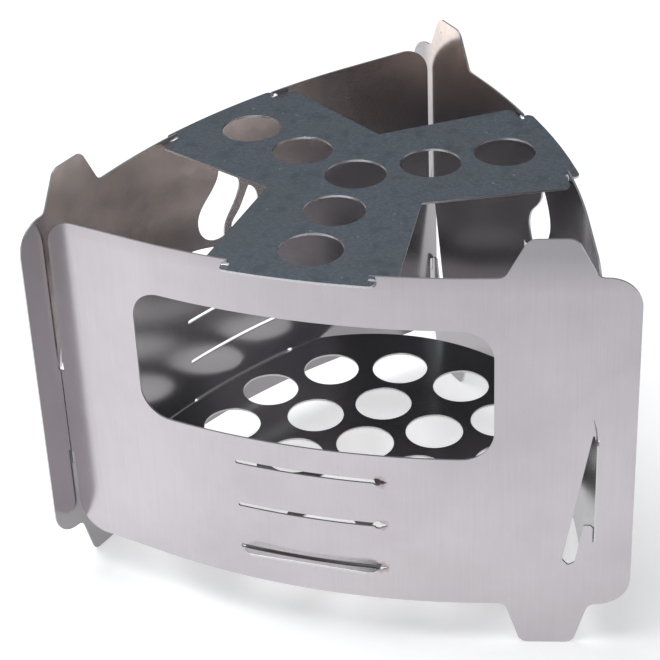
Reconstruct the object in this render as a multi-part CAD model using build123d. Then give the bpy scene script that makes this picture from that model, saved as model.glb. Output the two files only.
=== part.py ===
from build123d import *
import os
from math import cos, radians, sin, tan

# A flat-pack spirit stove stand: three bowed side panels of thin steel hook into each other at the
# corners, a perforated shelf for the burner sits in their slots, and a three-armed pot support
# drops into their top edges. Units are millimetres, +Z is up, and the feet stand on Z = 0.

# Side panels. A place on a panel is (s, z): s runs along the sheet from its middle, positive
# towards the panel's right end as seen from outside the stove.
SHEET = 0.5                 # sheet thickness
HALF_SPAN = 70.0            # straight distance from a panel's middle to its corner line
BEND_ANGLE = 13.2           # how far each half of a panel turns, degrees
BEND_RADIUS = 186.0         # radius of the bowed middle stretch
WING = 9.3                  # flat end beyond the corner line
STAND_OFF = 0.9             # gap between a panel's left edge and the neighbour's inner face
BODY_BOTTOM = 12.5
BODY_TOP = 108.0
EAR_TOP = 118.3
CORNER_RADIUS = 8.0

# Window of the front panel
WINDOW_LEFT = -45.6
WINDOW_RIGHT = 46.5
WINDOW_BOTTOM = 56.9
WINDOW_TOP = 93.8

# Level slots for the shelf
SLOT_LEVELS = 3
SLOT_PITCH = 13.3
SLOT_HEIGHT = 1.2
SLOT_LEFT = -19.2
SLOT_RIGHT = 19.2
SLOT_TIP = 20.3             # pointed right end of the front panel's slots
SLOT_ROUND = 0.5            # corner radius of the plain slot ends
RELIEF_PLACE = 17.8         # round relief near the pointed end
RELIEF_RADIUS = 1.1
LOWEST_SLOT = 21.9          # lower edge of the lowest slot

# Corner lock: the neighbour's fin passes the slit at the corner line
SLIT_WIDTH = 0.7
SLIT_TOP = 62.5
SLIT_BOTTOM = 32.3
STOP_HOLE = 0.6             # radius of the hole that ends the slit
TONGUE_TOP = 37.3           # tongue between the slit and the slanted leg of the opening
FIN_TOP = 62.3
FIN_NECK = 36.6             # lower edge of the fin where it leaves the panel
FIN_LIP = 32.7              # lowest point of the fin's hook
FIN_REACH = 1.0             # how far the fin stands out of the neighbour
HOOK_INSET = 0.4            # inner edge of the hook, measured inward from the corner line

# Flat plates
PLATE = 0.6                 # thickness of the shelf and of the pot support
DISC_RADIUS = 57.0
HOLE_RADIUS = 8.0
HOLE_SPACING = 20.0
OUTER_RING = 39.0           # radius of the shelf's ring of twelve holes
TAB_HALF = 18.0
TAB_REACH = 54.1            # distance of a tab's outer edge from the stove's axis
TAB_CORNER = 3.0
SUPPORT_TOP = 106.75        # upper face of the pot support
NECK_HALF = 17.0            # half width of an arm where it crosses a panel
LOBE_HALF = 18.9            # half width of the lobe outside the panel
LOBE_REACH = 2.65           # how far the lobe stands out of the panel
LOBE_BOW_HALF = 14.0        # half width of the bowed stretch of its outer edge
ARM_ROOT_HALF = 20.2
ARM_END_HALF = 23.7
CLEARANCE = 0.35
LIP_RELIEF_PLACE = 18.0     # round reliefs under the lips of a panel's top recess
LIP_RELIEF_RADIUS = 1.2

FAR = 200.0                 # longer than the whole stove, for cutting tools
SPARE = 5.0                 # how far uncut sheet stands past the outline cut from it

# Worked out from the driving dimensions
TURN = radians(BEND_ANGLE)
ARC_LENGTH = BEND_RADIUS * TURN
ARC_SPAN = BEND_RADIUS * sin(TURN)
ARC_DROP = BEND_RADIUS * (1 - cos(TURN))
STRAIGHT = (HALF_SPAN - ARC_SPAN) / cos(TURN)
CORNER_S = ARC_LENGTH + STRAIGHT
BOW = ARC_DROP + STRAIGHT * sin(TURN)
MIDDLE_DISTANCE = HALF_SPAN / 3 ** 0.5 + BOW
WING_END = CORNER_S + WING
LEFT_EDGE = -(CORNER_S - SHEET / 2 - STAND_OFF)
FIN_END = -(CORNER_S + SHEET / 2 + FIN_REACH)
SUPPORT_BOTTOM = SUPPORT_TOP - PLATE


def along(s):
    """Distance along the chord for a length s along the bowed sheet."""
    if abs(s) <= ARC_LENGTH:
        return BEND_RADIUS * sin(s / BEND_RADIUS)
    side = 1 if s > 0 else -1
    return side * (ARC_SPAN + (abs(s) - ARC_LENGTH) * cos(TURN))


def plan_point(s, outward=0.0):
    """Plan position on the front panel at sheet length s, moved outward from the mid surface."""
    turn = max(-TURN, min(TURN, s / BEND_RADIUS))
    rest = s - turn * BEND_RADIUS
    radius = BEND_RADIUS + outward
    x = radius * sin(turn) + rest * cos(turn)
    y = BEND_RADIUS - MIDDLE_DISTANCE - radius * cos(turn) + rest * sin(turn)
    return (x, y)


def plan_line(outward, end):
    """The bowed line of a panel in plan, between -end and +end along the sheet."""
    left = Line(plan_point(-end, outward), plan_point(-ARC_LENGTH, outward))
    middle = ThreePointArc(
        plan_point(-ARC_LENGTH, outward),
        plan_point(0, outward),
        plan_point(ARC_LENGTH, outward),
    )
    right = Line(plan_point(ARC_LENGTH, outward), plan_point(end, outward))
    return [left, middle, right]


def bowed_sheet():
    """The front panel's sheet before its outline is cut."""
    end = WING_END + SPARE
    half = SHEET / 2
    edges = plan_line(half, end) + plan_line(-half, end)
    edges.append(Line(plan_point(-end, half), plan_point(-end, -half)))
    edges.append(Line(plan_point(end, half), plan_point(end, -half)))
    return extrude(make_face(edges), amount=EAR_TOP)


def corner_arc(before, corner, after, radius):
    """The arc that rounds a corner, as its start, middle and end points."""
    there = Vector(*corner)
    back = (Vector(*before) - there).normalized()
    ahead = (Vector(*after) - there).normalized()
    half = radians(back.get_angle(ahead)) / 2
    setback = radius / tan(half)
    bisector = (back + ahead).normalized()
    middle = there + bisector * (radius / sin(half) - radius)
    return [there + back * setback, middle, there + ahead * setback]


def rounded(corners):
    """A face through (x, y, radius) corners, with every corner of radius > 0 rounded."""
    count = len(corners)
    stops = []
    for i, (x, y, radius) in enumerate(corners):
        before, after = corners[i - 1][:2], corners[(i + 1) % count][:2]
        stops.append(corner_arc(before, (x, y), after, radius) if radius > 0 else [Vector(x, y)])
    edges = []
    for i, stop in enumerate(stops):
        if len(stop) == 3:
            edges.append(ThreePointArc(*stop))
        edges.append(Line(stop[-1], stops[(i + 1) % count][0]))
    return make_face(edges)


def on_sheet(corners):
    """Moves (s, z, radius) corners from the flat sheet to the chord plane."""
    return [(along(s), z, radius) for s, z, radius in corners]


def panel_outline():
    """The panel's outline, counterclockwise from the lower left corner of the foot."""
    hook = -(CORNER_S - HOOK_INSET)
    foot = [(49.3, BODY_BOTTOM, 2.5), (53.4, 0, 2.6), (66.6, 0, 2.6), (70.3, BODY_BOTTOM, 2.5)]
    wing = [(WING_END, BODY_BOTTOM, CORNER_RADIUS), (WING_END, BODY_TOP, CORNER_RADIUS)]
    ear = [(70.3, BODY_TOP, 2.5), (65.1, EAR_TOP, 3), (54.1, EAR_TOP, 3), (48.6, BODY_TOP, 2.5)]
    fin = [
        (LEFT_EDGE, FIN_TOP, 0),
        (FIN_END, FIN_TOP, 0.5),
        (FIN_END, FIN_LIP, 0.5),
        (hook, FIN_LIP, 0.4),
        (hook, FIN_NECK, 0.3),
        (LEFT_EDGE, FIN_NECK, 0.3),
    ]
    top_left = [(LEFT_EDGE, BODY_TOP, CORNER_RADIUS)]
    bottom_left = [(LEFT_EDGE, BODY_BOTTOM, CORNER_RADIUS)]
    return rounded(on_sheet(foot + wing + ear + top_left + fin + bottom_left))


def top_recess():
    """Recess for an arm of the pot support, with a round relief under each lip."""
    lip = NECK_HALF + CLEARANCE
    recess = rounded(
        [
            (-lip, BODY_TOP + SPARE, 0),
            (-lip, SUPPORT_BOTTOM, 0),
            (lip, SUPPORT_BOTTOM, 0),
            (lip, BODY_TOP + SPARE, 0),
        ]
    )
    for side in (-1, 1):
        recess = recess + Pos(side * LIP_RELIEF_PLACE, SUPPORT_BOTTOM) * Circle(LIP_RELIEF_RADIUS)
    return recess


def plain_slot(level):
    """Slot for a tab of the shelf, with both ends rounded; level 0 is the lowest."""
    low = LOWEST_SLOT + level * SLOT_PITCH
    high = low + SLOT_HEIGHT
    corners = [(SLOT_LEFT, low), (SLOT_RIGHT, low), (SLOT_RIGHT, high), (SLOT_LEFT, high)]
    return rounded(on_sheet([(s, z, SLOT_ROUND) for s, z in corners]))


def pointed_slot(level):
    """The front panel's slot, which ends in a round relief and a point at its right."""
    low = LOWEST_SLOT + level * SLOT_PITCH
    middle = low + SLOT_HEIGHT / 2
    slot = rounded(
        on_sheet(
            [
                (SLOT_LEFT, low, SLOT_ROUND),
                (SLOT_RIGHT, low, 0),
                (SLOT_TIP, middle, 0),
                (SLOT_RIGHT, low + SLOT_HEIGHT, 0),
                (SLOT_LEFT, low + SLOT_HEIGHT, SLOT_ROUND),
            ]
        )
    )
    return slot + Pos(along(RELIEF_PLACE), middle) * Circle(RELIEF_RADIUS)


def corner_opening():
    """Hook-shaped opening: the slit, the slanted side that lets the fin in, and the lower leg."""
    slit_left = CORNER_S - SLIT_WIDTH / 2
    slit_right = CORNER_S + SLIT_WIDTH / 2
    leg = rounded(
        on_sheet(
            [
                (slit_right, SLIT_TOP, 0),
                (slit_left, SLIT_TOP, 0),
                (70.5, 64.2, 0.15),
                (70.1, 64.1, 0.2),
                (63.4, 26.7, 1.0),
                (64.9, 24.9, 0.6),
                (66.5, 25.9, 0.6),
                (68.55, TONGUE_TOP, 0.5),
                (70.2, TONGUE_TOP, 0.5),
                (slit_left, TONGUE_TOP - 0.9, 0),
                (slit_left, SLIT_BOTTOM, 0),
                (slit_right, SLIT_BOTTOM, 0),
            ]
        )
    )
    return leg + Pos(along(CORNER_S), SLIT_TOP) * Circle(STOP_HOLE) + relief_cut()


def relief_cut():
    """Fine curved cut that tapers off above the slit's stop hole."""
    return rounded(
        on_sheet(
            [
                (CORNER_S - 0.3, SLIT_TOP, 0),
                (CORNER_S + 0.3, SLIT_TOP, 0),
                (70.9, 66.3, 5.0),
                (70.25, 68.8, 0),
                (70.15, 68.8, 0),
                (70.6, 65.4, 4.0),
            ]
        )
    )


def window():
    """Fuel window of the front panel."""
    left, right = WINDOW_LEFT, WINDOW_RIGHT
    low, high, radius = WINDOW_BOTTOM, WINDOW_TOP, CORNER_RADIUS
    corners = [(left, low, radius), (right, low, radius), (right, high, radius), (left, high, radius)]
    return rounded(on_sheet(corners))


def vent(*sides):
    """A vent bounded by smooth curves, each through its (s, z) points."""
    curves = [Spline([(along(s), z) for s, z in side]) for side in sides]
    return make_face(curves)


def flame_vents():
    """Three flame-shaped air vents: a tall tongue, a small tongue and the bed under both."""
    tip = (3.4, 93.6)
    foot = (2.9, 70.3)
    tall = vent(
        [tip, (3.9, 89.2), (7.4, 85.0), (11.8, 80.0), (12.0, 75.6), (8.0, 70.9), foot],
        [foot, (1.7, 74.6), (-1.6, 79.0), (-3.8, 84.6), (-1.8, 89.2), tip],
    )
    crown = (-7.0, 82.7)
    drop = (-0.3, 70.6)
    small = vent(
        [crown, (-5.3, 79.9), (-2.6, 75.9), (-0.2, 73.2), drop],
        [drop, (-4.4, 69.6), (-8.2, 72.2), (-10.1, 77.0), (-9.2, 80.8), crown],
    )
    right_tip = (15.3, 70.5)
    left_tip = (-12.4, 69.8)
    bed = vent(
        [right_tip, (6.4, 68.3), (0.0, 66.6), (-6.6, 65.8), left_tip],
        [left_tip, (-10.0, 60.6), (-1.0, 56.6), (9.4, 59.4), (14.2, 65.2), right_tip],
    )
    return [tall, small, bed]


def front_cut(shape):
    """Extrudes a face drawn in the (x, z) plane through the front panel."""
    return extrude(Plane.XZ * shape, amount=FAR, both=True)


def side_panel(cuts):
    """One side panel in the front position, with its own cuts beside the common ones."""
    panel = bowed_sheet() & front_cut(panel_outline())
    for cut in [top_recess(), corner_opening()] + cuts:
        panel = panel - front_cut(cut)
    return panel


def inner_region(gap):
    """Plan area on the inner side of the front panel, gap away from its inner face."""
    end = FAR / 2
    left, right = plan_point(-end, -SHEET / 2 - gap), plan_point(end, -SHEET / 2 - gap)
    edges = plan_line(-SHEET / 2 - gap, end)
    edges.append(Polyline([right, (right[0], FAR), (left[0], FAR), left]))
    return make_face(edges)


def round_holes(places):
    """Round holes of the two plates at (radius, angle) places."""
    return [
        Pos(r * cos(radians(a)), r * sin(radians(a))) * Circle(HOLE_RADIUS) for r, a in places
    ]


def shelf_tab():
    """Plan area of the shelf's front tab."""
    return rounded(
        [
            (-TAB_HALF, -HOLE_SPACING, 0),
            (-TAB_HALF, -TAB_REACH, TAB_CORNER),
            (TAB_HALF, -TAB_REACH, TAB_CORNER),
            (TAB_HALF, -HOLE_SPACING, 0),
        ]
    )


def shelf():
    """Perforated disc that carries the burner, with a tab through each panel's slot."""
    disc = Circle(DISC_RADIUS)
    for turn in (0, 120, 240):
        inside = Rot(0, 0, turn) * inner_region(CLEARANCE)
        disc = disc & (inside + Rot(0, 0, turn) * shelf_tab())
    places = [(0, 0)]
    places += [(HOLE_SPACING, 30 + 60 * step) for step in range(6)]
    places += [(OUTER_RING, 30 * step) for step in range(12)]
    for hole in round_holes(places):
        disc = disc - hole
    return Pos(0, 0, LOWEST_SLOT) * extrude(disc, amount=PLATE)


def support_arm():
    """One arm of the pot support, pointing to the front."""
    line = MIDDLE_DISTANCE - BEND_RADIUS * (1 - cos(NECK_HALF / BEND_RADIUS))
    notch_in = line - SHEET / 2 - CLEARANCE
    notch_out = line + SHEET / 2 + CLEARANCE
    root = ARM_ROOT_HALF / 3 ** 0.5
    reach = MIDDLE_DISTANCE + SHEET / 2 + LOBE_REACH
    slope = LOBE_BOW_HALF / BEND_RADIUS
    peak = reach + BEND_RADIUS * (1 / cos(slope) - 1)
    right = [
        (ARM_ROOT_HALF, -root, 0),
        (ARM_END_HALF, -notch_in + 1.9, 1.2),
        (ARM_END_HALF - 1.2, -notch_in + 0.6, 0.8),
        (NECK_HALF, -notch_in, 0.3),
        (NECK_HALF, -notch_out, 0.3),
        (LOBE_HALF, -notch_out + 0.2, 0.6),
        (LOBE_HALF, -peak + LOBE_HALF * tan(slope), 1.6),
    ]
    left = [(-x, y, radius) for x, y, radius in reversed(right)]
    return rounded([(0, 0, 0)] + right + [(0, -peak, BEND_RADIUS)] + left)


def pot_support():
    """Three arms in one plate, with seven holes, resting in the panels' top recesses."""
    plate = support_arm()
    for turn in (120, 240):
        plate = plate + Rot(0, 0, turn) * support_arm()
    places = [(0, 0)]
    places += [(HOLE_SPACING * ring, angle) for ring in (1, 2) for angle in (30, 150, 270)]
    for hole in round_holes(places):
        plate = plate - hole
    return Pos(0, 0, SUPPORT_BOTTOM) * extrude(plate, amount=PLATE)


def build():
    """All pieces at their assembled places, around the axis that the three panels share."""
    levels = range(SLOT_LEVELS)
    front = side_panel([window()] + [pointed_slot(level) for level in levels])
    vented = side_panel(flame_vents() + [plain_slot(level) for level in levels])
    return {
        "front_panel": front,
        "right_panel": Rot(0, 0, 120) * vented,
        "left_panel": Rot(0, 0, 240) * vented,
        "base_plate": shelf(),
        "pot_support": pot_support(),
    }


def centred(pieces):
    """Moves all pieces so that the middle of the stove's bounding box is at X = Y = 0."""
    box = Compound(children=list(pieces.values())).bounding_box()
    middle = Vector(box.center().X, box.center().Y, 0)
    print("axis of the panels at", round(-middle.X, 3), round(-middle.Y, 3))
    return {name: Pos(-middle.X, -middle.Y, 0) * piece for name, piece in pieces.items()}


def write(pieces):
    """One STEP file for each piece."""
    os.makedirs("parts", exist_ok=True)
    for name, piece in pieces.items():
        solids = piece.solids()
        export_step(solids[0] if len(solids) == 1 else Compound(solids), f"parts/{name}.step")
        print(name, len(solids), "solid", round(piece.volume / 1000, 2), "cm3")


write(centred(build()))
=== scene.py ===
import math

import bmesh
import bpy
from mathutils import Matrix, Vector


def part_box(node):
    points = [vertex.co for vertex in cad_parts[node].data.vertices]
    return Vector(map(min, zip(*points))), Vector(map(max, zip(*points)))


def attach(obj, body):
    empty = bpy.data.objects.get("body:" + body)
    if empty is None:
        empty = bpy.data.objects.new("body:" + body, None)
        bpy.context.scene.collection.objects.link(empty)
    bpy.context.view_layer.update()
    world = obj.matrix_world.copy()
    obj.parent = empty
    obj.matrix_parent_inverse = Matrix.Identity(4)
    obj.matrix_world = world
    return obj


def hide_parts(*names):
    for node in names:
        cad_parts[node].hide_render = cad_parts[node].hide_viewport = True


# A flat-pack spirit stove stand in thin stainless sheet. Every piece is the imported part's own shape,
# with its edges broken, its bow made exact and its steel finish added.

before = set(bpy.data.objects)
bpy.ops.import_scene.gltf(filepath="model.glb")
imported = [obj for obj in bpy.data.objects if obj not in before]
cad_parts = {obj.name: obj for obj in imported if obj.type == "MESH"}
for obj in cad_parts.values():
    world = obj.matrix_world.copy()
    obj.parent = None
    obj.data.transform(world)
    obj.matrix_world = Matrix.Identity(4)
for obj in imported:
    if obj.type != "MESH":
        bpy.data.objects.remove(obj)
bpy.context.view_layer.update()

MM = 0.001

# Driving dimensions of the bowed panels, as in the part
SHEET = 0.5 * MM
BEND_RADIUS = 186 * MM
BEND_TURN = math.radians(13.2)
HALF_SPAN = 70 * MM
TAB_REACH = 54.1 * MM       # from the stove's axis to the outer edge of a shelf tab
EDGE_BREAK = 0.07 * MM      # width of the broken edge of cut sheet
SLOT_LEVELS = 3
SLOT_PITCH = 13.3 * MM
LOWEST_SLOT = 22.5 * MM     # middle of the lowest slot
HEAT_PLACE = 18.6 * MM      # heat marks, from the front panel's middle
EAR_FOOT = 104 * MM         # height at which the painted shade of the ears starts
GRID = 6 * MM               # spacing of the mesh lines across a panel

# Limits for the mesh work
WELD = 0.002 * MM
FLAT_TURN = math.radians(0.3)       # faces that turn less than this are one flat stretch
SHARP_TURN = math.radians(50)       # edges that turn more than this get broken
BOW_ERROR = 0.045 * MM              # most that a vertex lies off its bowed face
CUT_TOLERANCE = 0.001 * MM
ON_FACE = 0.97                      # least agreement of a polygon with the sheet's outward normal
ON_EDGE = 0.5                       # most agreement of a cut edge with it
UP = Vector((0, 0, 1))

ARC_SPAN = BEND_RADIUS * math.sin(BEND_TURN)
STRAIGHT = (HALF_SPAN - ARC_SPAN) / math.cos(BEND_TURN)
BOW = BEND_RADIUS * (1 - math.cos(BEND_TURN)) + STRAIGHT * math.sin(BEND_TURN)
MIDDLE_DISTANCE = HALF_SPAN / math.sqrt(3) + BOW
BEND_CENTRE = BEND_RADIUS - MIDDLE_DISTANCE
CORNER_DISTANCE = 2 * HALF_SPAN / math.sqrt(3)

PANEL_TURNS = {"front_panel": 0, "right_panel": 120, "left_panel": 240}


def stove_axis():
    """The upright axis that the three panels share, from the shelf's box."""
    low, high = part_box("base_plate")
    return Vector(((low.x + high.x) / 2, low.y + TAB_REACH, 0))


AXIS = stove_axis()


# ---------------------------------------------------------------- meshes

def welded(node):
    """The node's mesh as a bmesh with shared vertices and flat stretches merged."""
    mesh = bmesh.new()
    mesh.from_mesh(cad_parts[node].data)
    bmesh.ops.remove_doubles(mesh, verts=mesh.verts, dist=WELD)
    bmesh.ops.dissolve_limit(mesh, angle_limit=FLAT_TURN, verts=mesh.verts, edges=mesh.edges)
    return mesh


def break_edges(mesh):
    """Bevels every sharp edge of the sheet."""
    inner = [edge for edge in mesh.edges if len(edge.link_faces) == 2]
    sharp = [edge for edge in inner if edge.calc_face_angle() > SHARP_TURN]
    bmesh.ops.bevel(mesh, geom=sharp, offset=EDGE_BREAK, segments=2, profile=0.5, affect="EDGES",
                    clamp_overlap=True)


def panel_frame(turn):
    """Moves the stove's frame to that of a panel in the front position, and back."""
    there = Matrix.Rotation(math.radians(-turn), 4, "Z") @ Matrix.Translation(-AXIS)
    return there, there.inverted()


def bend_angle(place):
    """Direction of the sheet's outward normal at a place, as an angle from the panel's middle."""
    angle = math.atan2(place.x, BEND_CENTRE - place.y)
    return max(-BEND_TURN, min(BEND_TURN, angle))


def outward(place):
    """The sheet's outward normal at a place, with the panel in the front position."""
    angle = bend_angle(place)
    return Vector((math.sin(angle), -math.cos(angle), 0))


def cut_grid(mesh, low, high):
    """Cuts the sheet along upright and level lines, so that its faces are even."""
    def cut(place, normal):
        geometry = mesh.verts[:] + mesh.edges[:] + mesh.faces[:]
        bmesh.ops.bisect_plane(mesh, geom=geometry, dist=CUT_TOLERANCE, plane_co=place, plane_no=normal)

    steps = round(BEND_RADIUS * BEND_TURN / (GRID / 2))
    for step in range(-steps, steps + 1):
        angle = BEND_TURN * step / steps
        cut(Vector((0, BEND_CENTRE, 0)), Vector((math.cos(angle), math.sin(angle), 0)))
    for level in range(1, int((high - low) / GRID) + 1):
        cut(Vector((0, 0, low + level * GRID)), UP)


def true_bow(mesh):
    """Puts every vertex on the bowed faces exactly at its radius."""
    centre = Vector((0, BEND_CENTRE, 0))
    for vertex in mesh.verts:
        flat = Vector((vertex.co.x, vertex.co.y, 0)) - centre
        if abs(math.atan2(flat.x, -flat.y)) >= BEND_TURN:
            continue
        for radius in (BEND_RADIUS - SHEET / 2, BEND_RADIUS + SHEET / 2):
            if abs(flat.length - radius) < BOW_ERROR:
                flat = flat.normalized() * radius
                vertex.co.x, vertex.co.y = flat.x, flat.y + BEND_CENTRE
                break


def sheet_normals(data, facing):
    """Gives the sheet's faces their exact normals, and leaves the broken edges smooth."""
    data.shade_smooth()
    normals = []
    for polygon in data.polygons:
        for index in polygon.vertices:
            out = facing(data.vertices[index].co)
            side = polygon.normal.dot(out)
            if abs(side) > ON_FACE:
                normals.append(out if side > 0 else -out)
            elif polygon.material_index == 1:
                normals.append(polygon.normal)
            else:
                normals.append(Vector((0, 0, 0)))
    data.normals_split_custom_set(normals)


def mark_cut_edges(mesh, facing):
    """Faces across the sheet's thickness get the second material, that of cut edges."""
    for face in mesh.faces:
        place = face.calc_center_median()
        face.material_index = 1 if abs(face.normal.dot(facing(place))) < ON_EDGE else 0


def finish_piece(name, mesh, facing, back, node, body, materials):
    """Makes the object, with its materials, in place of the CAD node."""
    mark_cut_edges(mesh, facing)
    data = bpy.data.meshes.new(name)
    mesh.normal_update()
    mesh.to_mesh(data)
    mesh.free()
    sheet_normals(data, facing)
    data.transform(back)
    for material in materials:
        data.materials.append(material)
    piece = bpy.data.objects.new(name, data)
    bpy.context.collection.objects.link(piece)
    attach(piece, body)
    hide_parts(node)
    return piece


def make_panel(node, materials):
    mesh = welded(node)
    there, back = panel_frame(PANEL_TURNS[node])
    bmesh.ops.transform(mesh, matrix=there, verts=mesh.verts)
    break_edges(mesh)
    low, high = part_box(node)
    cut_grid(mesh, low.z, high.z)
    true_bow(mesh)
    return finish_piece(node + "_sheet", mesh, outward, back, node, "stove_body",
                        materials)


def make_plate(node, body, materials):
    mesh = welded(node)
    break_edges(mesh)
    return finish_piece(node + "_sheet", mesh, lambda place: UP, Matrix.Identity(4), node, body,
                        materials)


# ---------------------------------------------------------------- materials

class Nodes:
    """Short calls for building a material's nodes."""

    def __init__(self, name):
        self.material = bpy.data.materials.new(name)
        self.material.use_nodes = True
        self.tree = self.material.node_tree
        self.shader = self.tree.nodes["Principled BSDF"]

    def add(self, kind, inputs, **settings):
        """A node with its settings, and with each input linked to a socket or set to a value."""
        node = self.tree.nodes.new(kind)
        for key, value in settings.items():
            setattr(node, key, value)
        for key, value in inputs.items():
            if isinstance(value, bpy.types.NodeSocket):
                self.tree.links.new(value, node.inputs[key])
            else:
                node.inputs[key].default_value = value
        return node

    def link(self, socket, name):
        self.tree.links.new(socket, self.shader.inputs[name])

    def where(self):
        """A point's place in the stove's frame."""
        return self.add("ShaderNodeTexCoord", {}).outputs["Object"]

    def stretched(self, scale):
        """The place, stretched by a scale for each axis."""
        return self.add("ShaderNodeMapping", {"Vector": self.where(), "Scale": scale}).outputs["Vector"]

    def vector(self, operation, first, second=None):
        """The node of a sum with vectors."""
        inputs = {0: first} if second is None else {0: first, 1: second}
        return self.add("ShaderNodeVectorMath", inputs, operation=operation)

    def along(self, direction):
        """How far a point lies along a direction."""
        return self.vector("DOT_PRODUCT", self.where(), Vector(direction)).outputs["Value"]

    def noise(self, scale, detail=3.0, roughness=0.55, stretch=(1, 1, 1)):
        where = self.stretched(stretch)
        inputs = {"Vector": where, "Scale": scale, "Detail": detail, "Roughness": roughness}
        return self.add("ShaderNodeTexNoise", inputs).outputs["Fac"]

    def spread(self, value, low, high, to_low=0.0, to_high=1.0):
        inputs = {"Value": value, "From Min": low, "From Max": high, "To Min": to_low, "To Max": to_high}
        return self.add("ShaderNodeMapRange", inputs).outputs["Result"]

    def mix(self, factor, first, second):
        """A colour between two others. The colour sockets of this node have numbers, not names."""
        inputs = {0: factor, 6: first, 7: second}
        return self.add("ShaderNodeMix", inputs, data_type="RGBA").outputs[2]

    def maths(self, operation, first, second):
        return self.add("ShaderNodeMath", {0: first, 1: second}, operation=operation).outputs[0]

    def bump(self, height, strength, distance):
        inputs = {"Height": height, "Strength": strength, "Distance": distance}
        self.link(self.add("ShaderNodeBump", inputs).outputs["Normal"], "Normal")


def grey(level, red=1.0, blue=1.0):
    return (level * red, level, level * blue, 1)


# Tints of the panels, with painted shade for the ears and the inner faces
PANEL_DARK = grey(0.475, 1.065, 1.055)
PANEL_LIGHT = grey(0.54, 1.06, 1.05)
PANEL_SMUDGE = (0.50, 0.47, 0.455, 1)
PANEL_GRAIN = grey(0.36, 1.05, 1.04)
# painted shade for the tops of the ears
EAR_PAINTED_SHADE = grey(0.29, 1.05, 1.06)
HEAT_MARK = (0.33, 0.22, 0.19, 1)
# heat stains of the upper inner faces, kept pale as painted light
WARM_LIGHT = (0.93, 0.79, 0.70, 1)
WARM_DARK = (0.67, 0.59, 0.55, 1)
WARM_SPECK = (0.16, 0.13, 0.13, 1)
# painted shade: the low inner faces, and the inner faces past the corners
INNER_PAINTED_SHADE = (0.345, 0.33, 0.345, 1)
WING_PAINTED_SHADE = (0.37, 0.355, 0.365, 1)

# Tints of the shelf and the pot support
SHELF_WARM = (0.63, 0.615, 0.61, 1)
SHELF_COOL = (0.68, 0.68, 0.695, 1)
SHELF_GRAIN = grey(0.33)
SUPPORT_GREEN = (0.37, 0.415, 0.43, 1)
SUPPORT_BLUE = (0.40, 0.43, 0.50, 1)
SUPPORT_SMEAR = (0.20, 0.23, 0.25, 1)
SUPPORT_MOTTLE = (0.22, 0.26, 0.31, 1)
SUPPORT_FLECK = (0.72, 0.76, 0.76, 1)

# Where the tints change
EAR_FADE = 10 * MM          # height over which the painted shade of the ears comes in
INNER_LIGHT_WAY = (-0.4, 0, 1)     # direction in which the inner faces go from painted shade to painted light with warm stains
INNER_LIGHT_START = 86 * MM        # along that direction
INNER_LIGHT_END = 110 * MM
SIDE_FADE = 8 * MM          # how soon a face counts as turned to the axis or away from it
CORNER_FADE = 2 * MM
MARK_RAGGED = 0.5 * MM      # how uneven a heat mark's edge is
MARK_CORE = 1.2 * MM        # radius at which a heat mark starts to fade
MARK_EDGE = 2.1 * MM        # radius at which it has gone


def panel_steel():
    """Satin rolled stainless sheet: faint upright grain, clouds, smudges, heat marks and stains, with
    painted shade on the ears and painted shade and light on the inner faces.
    """
    n = Nodes("panel_steel")
    grain = n.noise(1.0, detail=4.0, roughness=0.6, stretch=(3600, 3600, 45))
    cloud = n.noise(26.0, detail=5.0, roughness=0.65)
    smudge = n.noise(9.0, detail=5.0, roughness=0.65, stretch=(1.0, 1.0, 2.2))
    # painted shade: the ears turn darker above EAR_FOOT
    ear = n.spread(n.along(UP), EAR_FOOT, EAR_FOOT + EAR_FADE, 0.0, 0.6)
    tint = n.mix(n.spread(cloud, 0.35, 0.65), PANEL_DARK, PANEL_LIGHT)
    tint = n.mix(n.spread(smudge, 0.56, 0.72, 0.0, 0.6), tint, PANEL_SMUDGE)
    tint = n.mix(n.spread(grain, 0.35, 0.7, 0.0, 0.14), tint, PANEL_GRAIN)
    tint = n.mix(ear, tint, EAR_PAINTED_SHADE)
    # painted shade and painted light on the faces turned to the axis, with heat stains
    tint = n.mix(inner_shade_factor(n), tint, inner_shade_light_and_stain(n))
    n.link(n.mix(heat_marks(n), tint, HEAT_MARK), "Base Color")
    rough = n.maths("ADD", n.spread(grain, 0.3, 0.7, 0.16, 0.19), n.spread(cloud, 0.3, 0.7, -0.01, 0.03))
    n.link(rough, "Roughness")
    n.shader.inputs["Metallic"].default_value = 1
    n.bump(grain, 0.03, 0.01 * MM)
    return n.material


def away_from_axis(n):
    """The level vector from the stove's axis to a point."""
    level = n.vector("MULTIPLY", n.where(), Vector((1, 1, 0))).outputs["Vector"]
    return n.vector("SUBTRACT", level, AXIS).outputs["Vector"]


def inner_shade_factor(n):
    """Factor of the painted shade, painted light and stains on the faces turned towards the stove's
    axis.
    """
    normal = n.add("ShaderNodeNewGeometry", {}).outputs["Normal"]
    facing = n.vector("DOT_PRODUCT", away_from_axis(n), normal).outputs["Value"]
    return n.spread(facing, -SIDE_FADE, SIDE_FADE, 0.85, 0.0)


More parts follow.
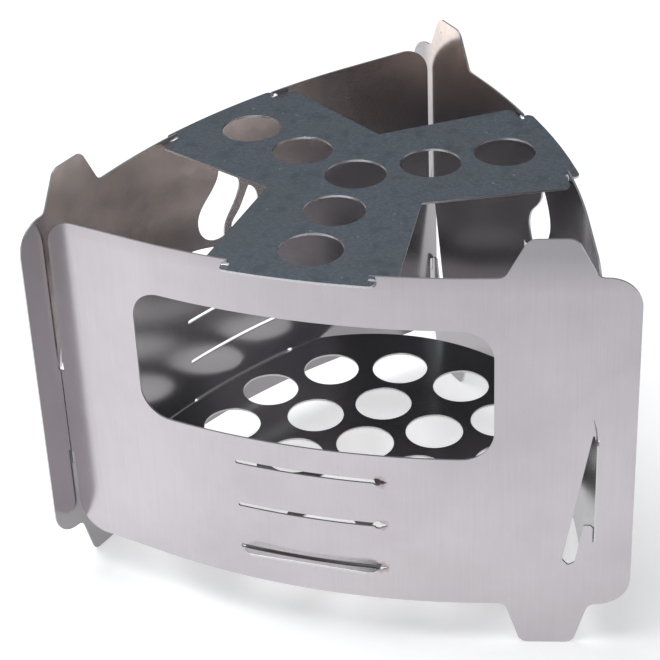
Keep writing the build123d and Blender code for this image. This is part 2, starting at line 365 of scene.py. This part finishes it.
def inner_shade_light_and_stain(n):
    """Colour of the inner faces: painted shade low down, painted light with warm heat stains and specks
    high up and to the left, plain painted shade past the corners.
    """
    stain = n.noise(50.0, detail=5.0, roughness=0.7)
    speck = n.noise(520.0, detail=1.0, roughness=0.5)
    warm = n.mix(n.spread(stain, 0.40, 0.62), WARM_LIGHT, WARM_DARK)
    warm = n.mix(n.spread(speck, 0.76, 0.80, 0.0, 0.7), warm, WARM_SPECK)
    # painted shade low down, turning to painted light and stains higher up and to the left
    shade_low_lit_high = n.mix(n.spread(n.along(INNER_LIGHT_WAY), INNER_LIGHT_START, INNER_LIGHT_END), INNER_PAINTED_SHADE, warm)
    gap = n.vector("LENGTH", away_from_axis(n)).outputs["Value"]
    past = n.spread(gap, CORNER_DISTANCE - CORNER_FADE, CORNER_DISTANCE + CORNER_FADE)
    # painted shade on the inner faces past the corners
    return n.mix(past, shade_low_lit_high, WING_PAINTED_SHADE)


def heat_marks(n):
    """Factor of the brown heat marks around the pointed ends of the front panel's slots."""
    ragged = n.spread(n.noise(900.0, detail=3.0, roughness=0.6), 0.3, 0.7, -MARK_RAGGED, MARK_RAGGED)
    total = 0.0
    for level in range(SLOT_LEVELS):
        centre = AXIS + Vector((HEAT_PLACE, -MIDDLE_DISTANCE, LOWEST_SLOT + level * SLOT_PITCH))
        gap = n.vector("DISTANCE", n.where(), centre).outputs["Value"]
        mark = n.spread(n.maths("ADD", gap, ragged), MARK_CORE, MARK_EDGE, 0.6, 0.0)
        total = n.maths("MAXIMUM", total, mark)
    return total


def shelf_steel():
    """Smooth rolled stainless sheet, with faint grain and clouds."""
    n = Nodes("shelf_steel")
    grain = n.noise(1.0, detail=4.0, roughness=0.6, stretch=(50, 2600, 2600))
    cloud = n.noise(32.0, detail=4.0)
    tint = n.mix(n.spread(cloud, 0.35, 0.65), SHELF_WARM, SHELF_COOL)
    n.link(n.mix(n.spread(grain, 0.35, 0.7, 0.0, 0.06), tint, SHELF_GRAIN), "Base Color")
    n.link(n.spread(cloud, 0.3, 0.7, 0.13, 0.19), "Roughness")
    n.shader.inputs["Metallic"].default_value = 1
    n.bump(grain, 0.02, 0.01 * MM)
    return n.material


def support_steel():
    """Blue-grey stainless sheet, mottled finely, with dark smears and a few bright flecks."""
    n = Nodes("support_steel")
    mottle = n.noise(900.0, detail=4.0, roughness=0.7)
    patch = n.noise(240.0, detail=4.0, roughness=0.6)
    cloud = n.noise(30.0, detail=4.0)
    fleck = n.noise(700.0, detail=1.0, roughness=0.5)
    tint = n.mix(n.spread(cloud, 0.32, 0.68), SUPPORT_GREEN, SUPPORT_BLUE)
    tint = n.mix(n.spread(patch, 0.52, 0.72, 0.0, 0.8), tint, SUPPORT_SMEAR)
    tint = n.mix(n.spread(mottle, 0.38, 0.60, 0.0, 0.8), tint, SUPPORT_MOTTLE)
    n.link(n.mix(n.spread(fleck, 0.76, 0.80), tint, SUPPORT_FLECK), "Base Color")
    n.link(n.spread(mottle, 0.3, 0.7, 0.34, 0.44), "Roughness")
    n.shader.inputs["Metallic"].default_value = 1
    n.bump(mottle, 0.10, 0.02 * MM)
    return n.material


def cut_steel():
    """Cut edge with fine marks across the sheet."""
    n = Nodes("cut_steel")
    marks = n.noise(3500.0, detail=3.0, roughness=0.6)
    n.link(n.mix(n.spread(marks, 0.35, 0.65), grey(0.55), grey(0.72)), "Base Color")
    n.link(n.spread(marks, 0.3, 0.7, 0.34, 0.48), "Roughness")
    n.shader.inputs["Metallic"].default_value = 1
    n.bump(marks, 0.15, 0.02 * MM)
    return n.material


# ---------------------------------------------------------------- camera, floor and light

CAMERA_PLACE = Vector((123.82, -419.42, 333.40)) * MM    # from the stove's axis
CAMERA_AZIMUTH = math.radians(-19.33)
CAMERA_ELEVATION = math.radians(29.525)     # looking down
CAMERA_ROLL = math.radians(-3.444)
CAMERA_LENS = 104.64                        # millimetres, on a sensor 36 wide
CAMERA_SHIFT = (0.0846, -0.1225)
FLOOR_HALF = 4.0
FLOOR_FADE = (0.5, -0.87, 0)                # direction in which the floor's own light fades
FLOOR_FADE_LENGTH = 0.30


def camera():
    """The camera stands in front of the stove, to its right, and looks down on it."""
    level_reach = math.cos(CAMERA_ELEVATION)
    forward = Vector((math.sin(CAMERA_AZIMUTH) * level_reach,
                      math.cos(CAMERA_AZIMUTH) * level_reach,
                      -math.sin(CAMERA_ELEVATION)))
    level = Vector((math.cos(CAMERA_AZIMUTH), -math.sin(CAMERA_AZIMUTH), 0))
    upright = level.cross(forward)
    right = level * math.cos(CAMERA_ROLL) + upright * math.sin(CAMERA_ROLL)
    up = upright * math.cos(CAMERA_ROLL) - level * math.sin(CAMERA_ROLL)
    data = bpy.data.cameras.new("camera")
    data.sensor_width = 36
    data.lens = CAMERA_LENS
    data.shift_x, data.shift_y = CAMERA_SHIFT
    data.clip_start = 0.01
    data.clip_end = 20
    eye = bpy.data.objects.new("camera", data)
    turn = Matrix((right, up, -forward)).transposed().to_4x4()
    eye.matrix_world = Matrix.Translation(AXIS + CAMERA_PLACE) @ turn
    bpy.context.collection.objects.link(eye)
    bpy.context.scene.camera = eye


def studio_floor():
    """A plain pale floor, bright of itself as a light table is, and less so in front of the stove."""
    data = bpy.data.meshes.new("floor")
    corners = [(x * FLOOR_HALF, y * FLOOR_HALF, 0) for x, y in ((-1, -1), (1, -1), (1, 1), (-1, 1))]
    data.from_pydata(corners, [], [(0, 1, 2, 3)])
    n = Nodes("floor")
    n.link(n.spread(n.along(FLOOR_FADE), 0.0, FLOOR_FADE_LENGTH, 0.50, 0.16), "Emission Strength")
    n.shader.inputs["Base Color"].default_value = (0.84, 0.84, 0.85, 1)
    n.shader.inputs["Roughness"].default_value = 0.7
    n.shader.inputs["Emission Color"].default_value = (1, 1, 1, 1)
    data.materials.append(n.material)
    floor = bpy.data.objects.new("floor", data)
    bpy.context.collection.objects.link(floor)


def softbox(name, place, aim, width, height, watts):
    """A rectangular lamp at a place, turned towards its aim."""
    data = bpy.data.lights.new(name, "AREA")
    data.shape = "RECTANGLE"
    data.size = width
    data.size_y = height
    data.energy = watts
    lamp = bpy.data.objects.new(name, data)
    lamp.location = place
    lamp.rotation_euler = (Vector(aim) - Vector(place)).to_track_quat("-Z", "Y").to_euler()
    bpy.context.collection.objects.link(lamp)


def studio_light():
    """A dim cool surround, a large softbox overhead and a small one in front."""
    world = bpy.data.worlds.new("studio")
    bpy.context.scene.world = world
    world.use_nodes = True
    background = world.node_tree.nodes["Background"]
    background.inputs["Color"].default_value = (0.90, 0.95, 1.0, 1)
    background.inputs["Strength"].default_value = 0.20
    softbox("overhead", place=(-0.35, -0.15, 1.3), aim=(0, 0, 0), width=1.0, height=1.0, watts=13.5)
    softbox("front", place=(-0.55, -1.45, 0.95), aim=(0, 0, 0.05), width=0.8, height=0.6, watts=2.6)


def colour_management():
    """Shows the scene's light as it is, with no film curve."""
    bpy.context.scene.view_settings.view_transform = "Standard"


camera()
edge = cut_steel()
panel_finish = [panel_steel(), edge]
for node in PANEL_TURNS:
    make_panel(node, panel_finish)
make_plate("base_plate", "stove_body", [shelf_steel(), edge])
make_plate("pot_support", "pot_support", [support_steel(), edge])
studio_floor()
studio_light()
colour_management()
